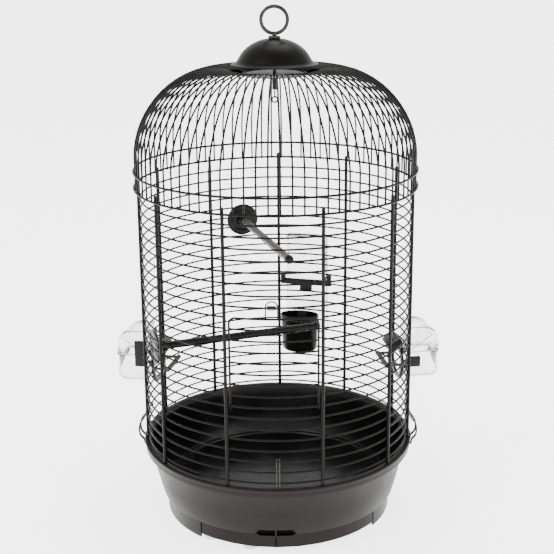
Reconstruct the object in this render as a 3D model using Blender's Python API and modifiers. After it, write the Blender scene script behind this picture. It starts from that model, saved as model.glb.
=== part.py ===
"""Round hanging bird cage: wire walls and dome on a flared plastic tray, with door, perches and feeders.

Metres, +Z up. The origin is on the floor, on the cage's axis. The door faces -Y.
"""
import math

import bmesh
import bpy
from mathutils import Matrix, Vector

MM = 0.001
GAP = 0.3 * MM

# Wire wall
RING_RADIUS = 165.8 * MM
RING_PITCH = 13.476 * MM
RING_COUNT = 24
RING_DATUM_Z = 427.46 * MM
POST_RADIUS = 167.8 * MM
POST_ANGLES = (-19.5, 19.5, 54.2, 84.0, 114.2, 147.0, 180.0, 213.0, 245.8, 276.0, 305.8)
POST_TOP_Z = 433.5 * MM
POST_FOOT_Z = 91.5 * MM
RING_WIRE = 1.06 * MM
POST_WIRE = 2.1 * MM
POST_FLAT = POST_WIRE * math.cos(math.pi / 4)
PANEL_NAMES = (
    "front_panel", "wall_right_front", "wall_right", "wall_right_feeder", "wall_right_rear", "wall_rear_right",
    "wall_rear_left", "wall_left_rear", "wall_left_feeder", "wall_left", "wall_left_front")
PANEL_SEGMENTS = {"front_panel": 4, "wall_right_feeder": 3, "wall_left_feeder": 3}

# Dome
DOME_WIRES = 80
DOME_SECTORS = 8
DOME_PHASE = -1.5
DOME_RADIUS = 171.0 * MM
DOME_BEND_RADIUS = 101.9 * MM
DOME_BEND_HEIGHT = 101.5 * MM
DOME_BEND_POWER = 1.11
DOME_BEND_Z = 466.4 * MM
DOME_FOOT_Z = 425.8 * MM
CROWN_RADIUS = 37.5 * MM
CROWN_Z = 560.6 * MM
HOOP_RADIUS = 173.95 * MM
HOOP_WIRE = 1.15 * MM
UPPER_HOOP_Z = 446.9 * MM
LOWER_HOOP_Z = 427.0 * MM

# Tray and drawer
SLOT_ANGLES = (-40.6, 57.1)
DRAWER_HALF_WIDTH = 86 * MM
DRAWER_BACK_Y = 70 * MM
DRAWER_FLOOR_Z = 8.4 * MM
DRAWER_TOP_Z = 24 * MM
PULL_HALF_WIDTH = 26.2 * MM
PULL_EDGE_HALF_WIDTH = 20 * MM
PULL_RIB_HALF_WIDTH = 0.9 * MM
PULL_SEAM_Z = 28 * MM
PULL_TOP_Z = 35.3 * MM
PULL_FOOT_Z = 23.8 * MM
FOOT_HEIGHT = 6.1 * MM
FOOT_RADIUS = 131.5 * MM
FOOT_ANGLES = (-38, -14, 62, 142, 218)

# Door, latch and tray clips
DOOR_HALF_ANGLE = 17.9
DOOR_TOP_RING = 9
DOOR_FOOT_RING = 17
DOOR_WIRE = 1.1 * MM
LATCH_RING = 8
LATCH_X = -2.0 * MM
CLIP_RING = 22

# Wall fittings: angle round the cage from the door, and height
PERCH_LENGTH = 219.6 * MM
PERCH_WALL = 161 * MM
UPPER_PERCH = (197.9, 344.4 * MM)
LOWER_PERCH = (-68.4, 235.4 * MM)
FEEDER_ANGLE = 101.0
FEEDER_LIFT = {"left": -2.5 * MM, "right": 2.5 * MM}
FEEDER_CATCH = {"left": (185 * MM, 219 * MM), "right": (184.5 * MM, 198 * MM)}
FEEDER_PEGS = {"left": (191.6 * MM, 205.1 * MM), "right": (191.6 * MM,)}
DRINKER_ANGLE = 167.4


def ring_z(index):
    """Height of one horizontal wall wire, counted from the top."""
    return RING_DATUM_Z - index * RING_PITCH


def around(radius, degrees, height):
    """A point on the cage's round plan: 0 degrees is the door, angles grow towards +X."""
    angle = math.radians(degrees)
    return Vector((radius * math.sin(angle), -radius * math.cos(angle), height))


def clear_scene():
    for item in list(bpy.data.objects):
        bpy.data.objects.remove(item, do_unlink=True)


def new_collection(name):
    collection = bpy.data.collections.new(name)
    bpy.context.scene.collection.children.link(collection)
    return collection


def principled(name, colour, roughness, metallic=0.0, alpha=1.0):
    material = bpy.data.materials.new(name)
    material.use_nodes = True
    shader = material.node_tree.nodes["Principled BSDF"]
    shader.inputs["Base Color"].default_value = (*colour, 1.0)
    shader.inputs["Roughness"].default_value = roughness
    shader.inputs["Metallic"].default_value = metallic
    shader.inputs["Alpha"].default_value = alpha
    return material


clear_scene()
PARTS = new_collection("bird_cage")
TOOLS = new_collection("bird_cage_tools")
BLACK_WIRE = principled("black_wire", (0.028, 0.025, 0.023), 0.38, 0.6)
GREY_STEEL = principled("grey_steel", (0.20, 0.19, 0.185), 0.32, 0.9)
TRAY_PLASTIC = principled("tray_plastic", (0.075, 0.067, 0.061), 0.45)
BLACK_PLASTIC = principled("black_plastic", (0.022, 0.021, 0.021), 0.4)
GREY_PLASTIC = principled("perch_plastic", (0.10, 0.092, 0.085), 0.4)
CLEAR_PLASTIC = principled("clear_plastic", (0.93, 0.92, 0.93), 0.08, 0.0, 0.25)
PALE_RUBBER = principled("pale_rubber", (0.62, 0.63, 0.62), 0.6)


# ---------------------------------------------------------------- shape tools

def link(obj, collection=None):
    (collection or TOOLS).objects.link(obj)
    return obj


def evaluated_mesh(obj):
    """The object's mesh with its modifiers applied, welded and in world space."""
    bpy.context.view_layer.update()
    graph = bpy.context.evaluated_depsgraph_get()
    mesh = bpy.data.meshes.new_from_object(obj.evaluated_get(graph))
    mesh.transform(obj.matrix_world)
    edit = bmesh.new()
    edit.from_mesh(mesh)
    bmesh.ops.remove_doubles(edit, verts=edit.verts, dist=0.00001)
    edit.to_mesh(mesh)
    edit.free()
    return mesh


def baked(obj):
    """Replaces a curve or a modified object by the plain mesh object that it shows."""
    mesh = evaluated_mesh(obj)
    name = obj.name
    bpy.data.objects.remove(obj, do_unlink=True)
    return link(bpy.data.objects.new(name, mesh))


def tube(name, points, radius, resolution=0, cyclic=False, tilt=0.0):
    """A bar along a list of points. Tilt turns its section, so that bars meet away from their edges."""
    curve = bpy.data.curves.new(name, "CURVE")
    curve.dimensions = "3D"
    curve.bevel_depth = radius
    curve.bevel_resolution = resolution
    curve.use_fill_caps = True
    spline = curve.splines.new("POLY")
    spline.points.add(len(points) - 1)
    for slot, point in zip(spline.points, points):
        slot.co = (*point, 1.0)
        slot.tilt = tilt
    spline.use_cyclic_u = cyclic
    return baked(link(bpy.data.objects.new(name, curve)))


def prism(name, outline, half_width):
    """A flat outline of (outward, up) points, extruded sideways and standing at the door side."""
    curve = bpy.data.curves.new(name, "CURVE")
    curve.dimensions = "2D"
    curve.fill_mode = "BOTH"
    curve.extrude = half_width
    spline = curve.splines.new("POLY")
    spline.points.add(len(outline) - 1)
    for slot, (outward, up) in zip(spline.points, outline):
        slot.co = (outward, up, 0.0, 1.0)
    spline.use_cyclic_u = True
    obj = link(bpy.data.objects.new(name, curve))
    # local X goes outward (-Y), local Y goes up and local Z goes sideways
    obj.matrix_world = Matrix(((0, 0, -1, 0), (-1, 0, 0, 0), (0, 1, 0, 0), (0, 0, 0, 1)))
    return baked(obj)


def block(name, low, high):
    """A box between two corners."""
    edit = bmesh.new()
    bmesh.ops.create_cube(edit, size=1.0)
    size = [b - a for a, b in zip(low, high)]
    centre = [(a + b) / 2 for a, b in zip(low, high)]
    bmesh.ops.scale(edit, vec=size, verts=edit.verts)
    bmesh.ops.translate(edit, vec=centre, verts=edit.verts)
    mesh = bpy.data.meshes.new(name)
    edit.to_mesh(mesh)
    edit.free()
    return link(bpy.data.objects.new(name, mesh))


def rod(name, start, end, radius, end_radius=None, sides=16):
    """A cylinder or cone between two points."""
    start, end = Vector(start), Vector(end)
    edit = bmesh.new()
    bmesh.ops.create_cone(
        edit, cap_ends=True, cap_tris=False, segments=sides, radius1=radius,
        radius2=radius if end_radius is None else end_radius, depth=(end - start).length)
    turn = (end - start).to_track_quat("Z", "Y").to_matrix().to_4x4()
    bmesh.ops.transform(edit, matrix=Matrix.Translation((start + end) / 2) @ turn, verts=edit.verts)
    mesh = bpy.data.meshes.new(name)
    edit.to_mesh(mesh)
    edit.free()
    return link(bpy.data.objects.new(name, mesh))


def turned(name, profile, steps, closed=True, sweep=360.0, start=0.0):
    """A profile of (radius, height) points in millimetres, turned about the cage's axis by Screw."""
    mesh = bpy.data.meshes.new(name)
    points = [(radius * MM, 0.0, height * MM) for radius, height in profile]
    edges = [(i, i + 1) for i in range(len(points) - 1)]
    if closed:
        edges.append((len(points) - 1, 0))
    mesh.from_pydata(points, edges, [])
    obj = link(bpy.data.objects.new(name, mesh))
    screw = obj.modifiers.new("turn", "SCREW")
    screw.angle = math.radians(sweep)
    screw.steps = screw.render_steps = steps
    screw.use_merge_vertices = sweep == 360.0
    screw.merge_threshold = 0.00001
    obj.rotation_euler.z = math.radians(start - 90.0)
    return baked(obj)


def capped_sweep(name, profile, steps, angles):
    """A convex profile swept round part of the circle, with both ends filled."""
    obj = turned(name, profile, steps, True, angles[1] - angles[0], angles[0])
    edit = bmesh.new()
    edit.from_mesh(obj.data)
    rims = [edge for edge in edit.edges if edge.is_boundary]
    bmesh.ops.holes_fill(edit, edges=rims, sides=0)
    bmesh.ops.recalc_face_normals(edit, faces=edit.faces)
    edit.to_mesh(obj.data)
    edit.free()
    return obj


def combine(base, others, operation):
    """Joins, cuts or intersects with EXACT Booleans, and removes the shapes it used."""
    for other in others:
        other.hide_render = True
        other.display_type = "WIRE"
        modifier = base.modifiers.new(operation.lower(), "BOOLEAN")
        modifier.operation = operation
        modifier.solver = "EXACT"
        modifier.object = other
    result = baked(base)
    for other in others:
        bpy.data.objects.remove(other, do_unlink=True)
    return result


def union(base, *others):
    return combine(base, others, "UNION")


def cut(base, *others):
    return combine(base, others, "DIFFERENCE")


def moving_origin(obj, point):
    """Puts a moving piece's origin on its joint's axis."""
    obj.data.transform(Matrix.Translation(-Vector(point)))
    obj.location = point


def finish(obj, name, material, angle=0.0, pivot=None, crease=40.0):
    """Names a part, turns it to its place round the cage and gives it its material."""
    obj.data.transform(Matrix.Rotation(math.radians(angle), 4, "Z"))
    TOOLS.objects.unlink(obj)
    PARTS.objects.link(obj)
    obj.name = obj.data.name = name
    obj.data.materials.clear()
    obj.data.materials.append(material)
    obj.data.shade_smooth()
    obj.data.set_sharp_from_angle(angle=math.radians(crease))
    if pivot is not None:
        moving_origin(obj, Matrix.Rotation(math.radians(angle), 4, "Z") @ Vector(pivot))
    return obj


# ---------------------------------------------------------------- wire wall

def wall_wire(name, span, height, segments):
    """One horizontal wire: it starts inside its own post and stops just short of the next one."""
    points = [around(POST_RADIUS, 0, height)]
    start = 0.7 if segments > 2 else 0.0
    stop = span - math.degrees((POST_FLAT + 1.0 * MM) / POST_RADIUS)
    for step in range(0 if start else 1, segments + 1):
        points.append(around(RING_RADIUS, start + (stop - start) * step / segments, height))
    return tube(name, points, RING_WIRE)


def wall_panel(index):
    """One post with the horizontal wires that it carries, built at the door side and turned to its place."""
    name = PANEL_NAMES[index]
    first = POST_ANGLES[index]
    last = POST_ANGLES[index + 1] if index + 1 < len(POST_ANGLES) else POST_ANGLES[0] + 360.0
    post = rod(
        name, around(POST_RADIUS, 0, POST_FOOT_Z), around(POST_RADIUS, 0, POST_TOP_Z), POST_WIRE, sides=4)
    # an eighth of a turn sets the post's flats towards the wires
    centre = Matrix.Translation((0, -POST_RADIUS, 0))
    post.data.transform(centre @ Matrix.Rotation(math.pi / 4, 4, "Z") @ centre.inverted())
    wires = []
    for ring in range(1, RING_COUNT + 1):
        in_doorway = index == 0 and DOOR_TOP_RING <= ring < DOOR_FOOT_RING
        if not in_doorway:
            wires.append(wall_wire(f"wire_{ring}", last - first, ring_z(ring), PANEL_SEGMENTS.get(name, 2)))
    finish(union(post, *wires), name, BLACK_WIRE, first)


# ---------------------------------------------------------------- dome

def dome_profile():
    """Centre line of one dome wire, as (radius, height), from the crown down to the lower hoop."""
    points = [(CROWN_RADIUS, CROWN_Z), (55.0 * MM, 564.6 * MM)]
    bend_centre = DOME_RADIUS - DOME_BEND_RADIUS
    for degrees in (5, 24, 42, 58, 74, 90):
        angle = math.radians(degrees)
        rise = max(math.cos(angle), 0.0) ** DOME_BEND_POWER
        points.append((bend_centre + DOME_BEND_RADIUS * math.sin(angle), DOME_BEND_Z + DOME_BEND_HEIGHT * rise))
    points.append((DOME_RADIUS, DOME_FOOT_Z))
    return points


def dome_sector(index):
    wires_each = DOME_WIRES // DOME_SECTORS
    step = 360.0 / DOME_WIRES
    first = DOME_PHASE + index * wires_each * step
    margin = math.degrees(0.6 * GAP / CROWN_RADIUS)
    start = first - step / 2 + margin
    stop = start + wires_each * step - 2 * margin
    crown = capped_sweep(
        f"crown_{index}", ((35.0, 562.4), (40.5, 562.4), (40.5, 558.8), (35.0, 558.8)), 4, (start, stop))
    wires = []
    for number in range(wires_each):
        angle = first + number * step
        points = [around(radius, angle, height) for radius, height in dome_profile()]
        wires.append(tube(f"meridian_{number}", points, RING_WIRE))
    finish(union(crown, *wires), f"dome_sector_{index + 1}", BLACK_WIRE)


def hoop(name, height):
    points = [around(HOOP_RADIUS, 360.0 * i / 48, height) for i in range(48)]
    finish(tube(name, points, HOOP_WIRE, cyclic=True), name, BLACK_WIRE)


# ---------------------------------------------------------------- cap and hanger

def top_fittings():
    cap = turned("cap", (
        (2.8, 602.3), (8, 602.3), (20, 599.7), (31, 594), (39.6, 585.6), (44.8, 577.2), (47.4, 574.2),
        (52.7, 572.6), (52.7, 571.4), (46.4, 572.6), (43.2, 576.2), (38.2, 584), (29.8, 592.2), (19.3, 597.9),
        (8, 600.6), (2.8, 600.6)), 24)
    finish(cap, "cap", BLACK_PLASTIC)
    disc = turned("crown_disc", ((2.8, 561.5), (34.0, 561.5), (34.0, 559.5), (2.8, 559.5)), 24)
    finish(disc, "crown_disc", GREY_STEEL)
    ferrule = turned("ferrule", ((2.6, 605.2), (6.6, 605.2), (7.4, 604.6), (7.4, 602.6), (2.6, 602.6)), 20)
    finish(ferrule, "hanger_ferrule", GREY_STEEL)
    sleeve = turned("sleeve", ((2.3, 559.1), (2.9, 559.1), (2.9, 541.5), (2.3, 541.5)), 14)
    finish(sleeve, "hook_sleeve", BLACK_PLASTIC)

    ring_centre = 623.8 * MM
    radius = 15.85 * MM
    points = []
    for step in range(24):
        turn = 2 * math.pi * step / 24
        points.append((radius * math.sin(turn), 0.0, ring_centre + radius * math.cos(turn)))
    ring = tube("ring", points, 2.35 * MM, resolution=1, cyclic=True)
    stem = rod("stem", (0, 0, 541.2 * MM), (0, 0, 608.0 * MM), 1.8 * MM, sides=10)
    finish(union(ring, stem), "hanging_ring", GREY_STEEL, pivot=(0, 0, ring_centre))

    eye_centre = 529.7 * MM
    radius = 3.3 * MM
    points = []
    for step in range(14):
        turn = 2 * math.pi * step / 14
        points.append((radius * math.sin(turn), 0.0, eye_centre + radius * math.cos(turn)))
    eye = tube("eye", points, 0.65 * MM, cyclic=True)
    shank = rod("shank", (0, 0, 532.6 * MM), (0, 0, 540.9 * MM), 0.9 * MM, sides=8)
    finish(union(eye, shank), "toy_hook", BLACK_WIRE, pivot=(0, 0, eye_centre))


# ---------------------------------------------------------------- tray, drawer and feet

def pull_half_width(height):
    """Half the finger pull's width at one height: it is widest at the seam below the bowl."""
    edge_z = PULL_TOP_Z if height > PULL_SEAM_Z else PULL_FOOT_Z
    share = (height - PULL_SEAM_Z) / (edge_z - PULL_SEAM_Z)
    return PULL_HALF_WIDTH + (PULL_EDGE_HALF_WIDTH - PULL_HALF_WIDTH) * share


def pull_pocket(name, side, low_z, high_z, back_y):
    """A cutter for one half of the finger pull, beside its middle rib, from the outside in to back_y."""
    rib = side * PULL_RIB_HALF_WIDTH
    low_x, high_x = side * pull_half_width(low_z), side * pull_half_width(high_z)
    outline = [(rib, low_z), (low_x, low_z), (high_x, high_z), (rib, high_z)]
    front_y = -158 * MM
    curve = bpy.data.curves.new(name, "CURVE")
    curve.dimensions = "2D"
    curve.fill_mode = "BOTH"
    curve.extrude = (back_y - front_y) / 2
    spline = curve.splines.new("POLY")
    spline.points.add(len(outline) - 1)
    for slot, (x, z) in zip(spline.points, outline):
        slot.co = (x, z, 0.0, 1.0)
    spline.use_cyclic_u = True
    obj = link(bpy.data.objects.new(name, curve))
    # local Y goes up and local Z goes outward (-Y)
    obj.matrix_world = Matrix(((1, 0, 0, 0), (0, 0, -1, (back_y + front_y) / 2), (0, 1, 0, 0), (0, 0, 0, 1)))
    return baked(obj)


def tray():
    bowl = turned("bowl", (
        (0, 32.5), (141.0, 32.5), (142.0, 34.8), (145.2, 34.8), (146.2, 33.6), (148.4, 33.6), (160.5, 86.0),
        (162.6, 96.6), (164.2, 98.3), (171.4, 98.3), (172.5, 97.0), (170.6, 86.6), (164.0, 86.6), (157.4, 55.0),
        (150.0, 28.0), (144.5, 28.0), (144.5, 3.0), (142.3, 3.0), (142.3, 29.8), (0, 29.8)), 36, closed=False)
    slot = capped_sweep("slot", ((138, 27.2), (149, 27.2), (149, -5.0), (138, -5.0)), 14, SLOT_ANGLES)
    tools = [slot]
    for side in (-1, 1):
        tools.append(pull_pocket(f"pull_low_{side}", side, 26.5 * MM, 32.0 * MM, -145.6 * MM))
        tools.append(pull_pocket(f"pull_high_{side}", side, 31.5 * MM, PULL_TOP_Z, -149.6 * MM))
    for number, angle in enumerate(POST_ANGLES):
        foot = around(POST_RADIUS, angle, 90.0 * MM)
        tools.append(rod(f"socket_{number}", foot, foot + Vector((0, 0, 20 * MM)), 2.7 * MM, sides=8))
    finish(cut(bowl, *tools), "tray_base", TRAY_PLASTIC)


def drawer():
    panel_angles = (SLOT_ANGLES[0] + 0.9, SLOT_ANGLES[1] - 0.9)
    panel = capped_sweep(
        "panel", ((142.5, 26.8), (144.5, 26.8), (144.5, 8.4), (142.5, 8.4)), 14, panel_angles)
    wall = 2.0 * MM
    half = DRAWER_HALF_WIDTH
    front = -160 * MM
    box = block("box", (-half, front, DRAWER_FLOOR_Z), (half, DRAWER_BACK_Y, DRAWER_TOP_Z))
    hollow = block(
        "hollow", (wall - half, front - wall, DRAWER_FLOOR_Z + wall),
        (half - wall, DRAWER_BACK_Y - wall, 40 * MM))
    box = cut(box, hollow)
    round_limit = rod("round_limit", (0, 0, -10 * MM), (0, 0, 50 * MM), 143.6 * MM, sides=64)
    box = combine(box, [round_limit], "INTERSECT")
    box = union(box, panel)
    pulls = []
    for side in (-1, 1):
        pulls.append(pull_pocket(f"grip_{side}", side, PULL_FOOT_Z, PULL_SEAM_Z, -130 * MM))
    # the groove below the middle rib
    pulls.append(block("groove", (-0.5 * MM, -150 * MM, 0), (0.5 * MM, -143.9 * MM, 22 * MM)))
    finish(cut(box, *pulls), "base_drawer", TRAY_PLASTIC, pivot=(0, 0, DRAWER_FLOOR_Z))


def bottom_plate_and_feet():
    plate = turned("plate", ((0, 8.0), (141.2, 8.0), (141.2, 6.4), (0, 6.4)), 32, closed=False)
    finish(plate, "bottom_plate", BLACK_PLASTIC)
    centres = [around(FOOT_RADIUS, angle, 0.0) for angle in FOOT_ANGLES]
    centres.append(Vector((0, 0, 0)))
    for number, centre in enumerate(centres):
        foot = rod(f"foot_{number}", centre, centre + Vector((0, 0, FOOT_HEIGHT)), 9.4 * MM, 10 * MM, 16)
        finish(foot, f"foot_{number + 1}", PALE_RUBBER)


# ---------------------------------------------------------------- door, latch and clips

def eyelet(centre_y, centre_z, x, radius, first, last, steps):
    """Points of a small loop round a wire that runs along X. Angles are from -Y, turning upwards."""
    points = []
    for step in range(steps + 1):
        angle = math.radians(first + (last - first) * step / steps)
        points.append(Vector((x, centre_y - radius * math.cos(angle), centre_z + radius * math.sin(angle))))
    return points


def door():
    foot_z = ring_z(DOOR_FOOT_RING)
    top_z = ring_z(DOOR_TOP_RING)
    hinge = around(RING_RADIUS, DOOR_HALF_ANGLE, foot_z)
    corner = 8 * MM
    corner_angle = math.degrees(corner / RING_RADIUS)
    side = [around(RING_RADIUS, DOOR_HALF_ANGLE, foot_z + 5.5 * MM),
            around(RING_RADIUS, DOOR_HALF_ANGLE, top_z - corner)]
    for degrees in (30, 60, 90):
        bend = math.radians(degrees)
        side.append(around(
            RING_RADIUS, DOOR_HALF_ANGLE - corner_angle * (1 - math.cos(bend)),
            top_z - corner * (1 - math.sin(bend))))
    loop = eyelet(hinge.y, hinge.z, hinge.x, 2.75 * MM, 330.0, 150.0, 5)
    right = loop + side
    left = [Vector((-p.x, p.y, p.z)) for p in reversed(right)]
    top_inner = DOOR_HALF_ANGLE - corner_angle
    top = [around(RING_RADIUS, top_inner * (1 - 2 * i / 5), top_z) for i in range(1, 5)]
    frame = tube("door_frame", right + top + left, DOOR_WIRE, tilt=0.4)
    bars = []
    for ring in range(DOOR_TOP_RING + 1, DOOR_FOOT_RING):
        # a bar sits slightly inside the frame's centre line and reaches into its far edge
        points = []
        for step in range(4):
            angle = (DOOR_HALF_ANGLE + 0.05) * (1 - 2 * step / 3)
            points.append(around(RING_RADIUS - 0.12 * MM, angle, ring_z(ring)))
        bars.append(tube(f"door_bar_{ring}", points, RING_WIRE))
    finish(union(frame, *bars), "door", BLACK_WIRE, pivot=(0, hinge.y, foot_z))


def door_latch():
    height = ring_z(LATCH_RING)
    half = 6.9 * MM
    foot_z = ring_z(DOOR_TOP_RING) + 1.9 * MM
    front_y = -(RING_RADIUS + 2.2 * MM)
    coil = cut(
        rod("coil", (-5.4 * MM, -RING_RADIUS, height), (5.4 * MM, -RING_RADIUS, height), 3.0 * MM, sides=12),
        rod("bore", (-9 * MM, -RING_RADIUS, height), (9 * MM, -RING_RADIUS, height), 2.1 * MM, sides=12))
    arch = [Vector((half, front_y, foot_z))]
    for step in range(7):
        angle = math.pi * step / 6
        arch.append(Vector((half * math.cos(angle), front_y, height + 1.6 * MM + 6.6 * MM * math.sin(angle))))
    arch.append(Vector((-half, front_y, foot_z)))
    latch = union(coil, tube("bail", arch, 0.85 * MM), *[
        rod("lug", (sign * 4.6 * MM, front_y, height), (sign * 7 * MM, front_y, height), 0.75 * MM, sides=6)
        for sign in (-1, 1)])
    latch.data.transform(Matrix.Translation((LATCH_X, 0, 0)))
    finish(latch, "door_latch", GREY_STEEL, pivot=(LATCH_X, -RING_RADIUS, height))


def tray_clip(name, angle, half_width, leg):
    """A spring bail that hangs on a wall wire. The leg's points are (radius, height) in millimetres."""
    height = ring_z(CLIP_RING)
    pivot_y = -math.sqrt(RING_RADIUS ** 2 - half_width ** 2)
    right = eyelet(pivot_y, height, half_width, 2.85 * MM, 200.0, -20.0, 6)
    for radius, leg_z in leg:
        right.append(Vector((half_width, -radius * MM, leg_z * MM)))
    left = [Vector((-p.x, p.y, p.z)) for p in reversed(right)]
    clip = tube(name, right + left, 0.95 * MM)
    finish(clip, name, GREY_STEEL, angle, pivot=(0, pivot_y, height))


def tray_clips():
    """Two bails hook under the tray's rim at the sides; a narrow one at the front ends on top of the rim."""
    side_leg = ((172.75, 120), (179, 110), (179.1, 97), (174.2, 90), (173.2, 84.5), (168.6, 82.6))
    tray_clip("left_tray_clip", -90.0, 9 * MM, side_leg)
    tray_clip("right_tray_clip", 90.0, 9 * MM, side_leg)
    tray_clip("front_tray_clip", 1.3, 1.7 * MM, ((169.0, 122), (169.3, 110), (169.0, 100.2)))


# ---------------------------------------------------------------- perches

def perch(prefix, angle, height):
    outer = -PERCH_WALL
    rosette = turned_rosette(prefix, height)
    finish(rosette, f"{prefix}_perch_rosette", BLACK_PLASTIC, angle)
    far = outer + PERCH_LENGTH
    stick = rod("stick", (0, outer + 8.2 * MM, height), (0, far - 6.3 * MM, height), 4.9 * MM, sides=16)
    finish(stick, f"{prefix}_perch", GREY_PLASTIC, angle)
    tip = rod("tip", (0, far - 6 * MM, height), (0, far, height), 5.6 * MM, 4.6 * MM, 16)
    finish(tip, f"{prefix}_perch_tip", BLACK_PLASTIC, angle)


def turned_rosette(prefix, height):
    outer = -PERCH_WALL
    flange = rod(f"{prefix}_flange", (0, outer, height), (0, outer + 3 * MM, height), 21.5 * MM, 20 * MM, 24)
    hub = rod(f"{prefix}_hub", (0, outer + 1 * MM, height), (0, outer + 14 * MM, height), 8.5 * MM, 7 * MM, 16)
    bore = rod(
        f"{prefix}_bore", (0, outer + 7.9 * MM, height), (0, outer + 20 * MM, height), 5.3 * MM, sides=16)
    return cut(union(flange, hub), bore)


# ---------------------------------------------------------------- feeders

def rounded_outline(inner, outer, low, high, top_round, low_chamfer=0.0, steps=6):
    """A box outline whose outer top corner is a quarter circle and whose outer bottom corner is cut."""
    points = [(inner, low), (outer - low_chamfer, low)]
    if low_chamfer:
        points.append((outer, low + low_chamfer))
    for step in range(steps + 1):
        angle = math.pi / 2 * step / steps
        points.append((outer - top_round * (1 - math.cos(angle)), high - top_round * (1 - math.sin(angle))))
    points.append((inner, high))
    return points


def shell_prism(name, outer_outline, inner_outline, half_width, wall):
    hollow = prism(f"{name}_hollow", inner_outline, half_width - wall)
    return cut(prism(name, outer_outline, half_width), hollow)


def feeder(side):
    angle = FEEDER_ANGLE if side == "right" else -FEEDER_ANGLE
    lift = FEEDER_LIFT[side]
    wall = 1.6 * MM
    inner, outer = 168.7 * MM, 206.4 * MM
    seam = 199.3 * MM + lift
    low, high = 167 * MM + lift, 233.5 * MM + lift
    half = 22 * MM

    cup = shell_prism(
        "cup",
        [(inner, low), (outer - 7 * MM, low), (outer, low + 8 * MM), (outer, seam - GAP), (inner, seam - GAP)],
        [(inner + wall, low + wall), (outer - 7.6 * MM, low + wall), (outer - wall, low + 8.5 * MM),
         (outer - wall, seam + 9 * MM), (inner + wall, seam + 9 * MM)], half, wall)
    access = block(
        "access", (-17 * MM, -inner - 4 * MM, low + 14 * MM), (17 * MM, -inner + 4 * MM, seam + 9 * MM))
    finish(cut(cup, access), f"{side}_feeder_cup", CLEAR_PLASTIC, angle)

    hood_outer = rounded_outline(inner, outer + 0.8 * MM, seam, high, 19 * MM)
    hood_inner = rounded_outline(inner + wall, outer + 0.8 * MM - wall, seam - 9 * MM, high - wall, 17.4 * MM)
    hood = shell_prism("hood", hood_outer, hood_inner, half + 0.8 * MM, wall)
    finish(hood, f"{side}_feeder_hood", CLEAR_PLASTIC, angle, pivot=(0, -inner, seam))

    centre_z = 187 * MM + lift
    frame = rod("frame", (0, -160.6 * MM, centre_z), (0, -157 * MM, centre_z), 27 * MM, sides=24)
    tabs, tools = [], []
    for sign in (-1, 1):
        catch_low, catch_high = FEEDER_CATCH[side]
        low_x, high_x = sorted((sign * 20 * MM, sign * 28.6 * MM))
        tabs.append(block(
            "tab", (low_x, -160.2 * MM, catch_low + 1 * MM), (high_x, -157.2 * MM, catch_high - 1 * MM)))
        low_x, high_x = sorted((sign * 24.2 * MM, sign * 28.2 * MM))
        for peg_z in FEEDER_PEGS[side]:
            tabs.append(block("peg", (low_x, -174 * MM, peg_z - 2 * MM), (high_x, -158 * MM, peg_z + 2 * MM)))
        low_x, high_x = sorted((sign * 23.6 * MM, sign * 28.6 * MM))
        tabs.append(block("catch", (low_x, -182 * MM, catch_low), (high_x, -168.4 * MM, catch_high)))
    tools.append(rod("view", (0, -170 * MM, centre_z), (0, -150 * MM, centre_z), 21 * MM, sides=24))
    frame = union(cut(frame, *tools), *tabs)
    roof = block("roof", (-20 * MM, -160.2 * MM, centre_z + 17 * MM), (20 * MM, -143 * MM, centre_z + 28 * MM))
    under = block("under", (-18 * MM, -158 * MM, centre_z + 10 * MM), (18 * MM, -140 * MM, centre_z + 26 * MM))
    frame = union(frame, cut(roof, under))
    finish(frame, f"{side}_feeder_frame", BLACK_PLASTIC, angle)

    bar_z = 184.5 * MM + lift
    bar = rod("bar", (-26 * MM, -139 * MM, bar_z), (26 * MM, -139 * MM, bar_z), 3.1 * MM, sides=12)
    arms = []
    for sign in (-1, 1):
        low_x, high_x = sorted((sign * 21.8 * MM, sign * 24.8 * MM))
        arms.append(block(
            "arm", (low_x, -156.7 * MM, bar_z - 1.6 * MM), (high_x, -138.5 * MM, bar_z + 1.6 * MM)))
    finish(union(bar, *arms), f"{side}_feeder_perch", GREY_PLASTIC, angle)


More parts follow.
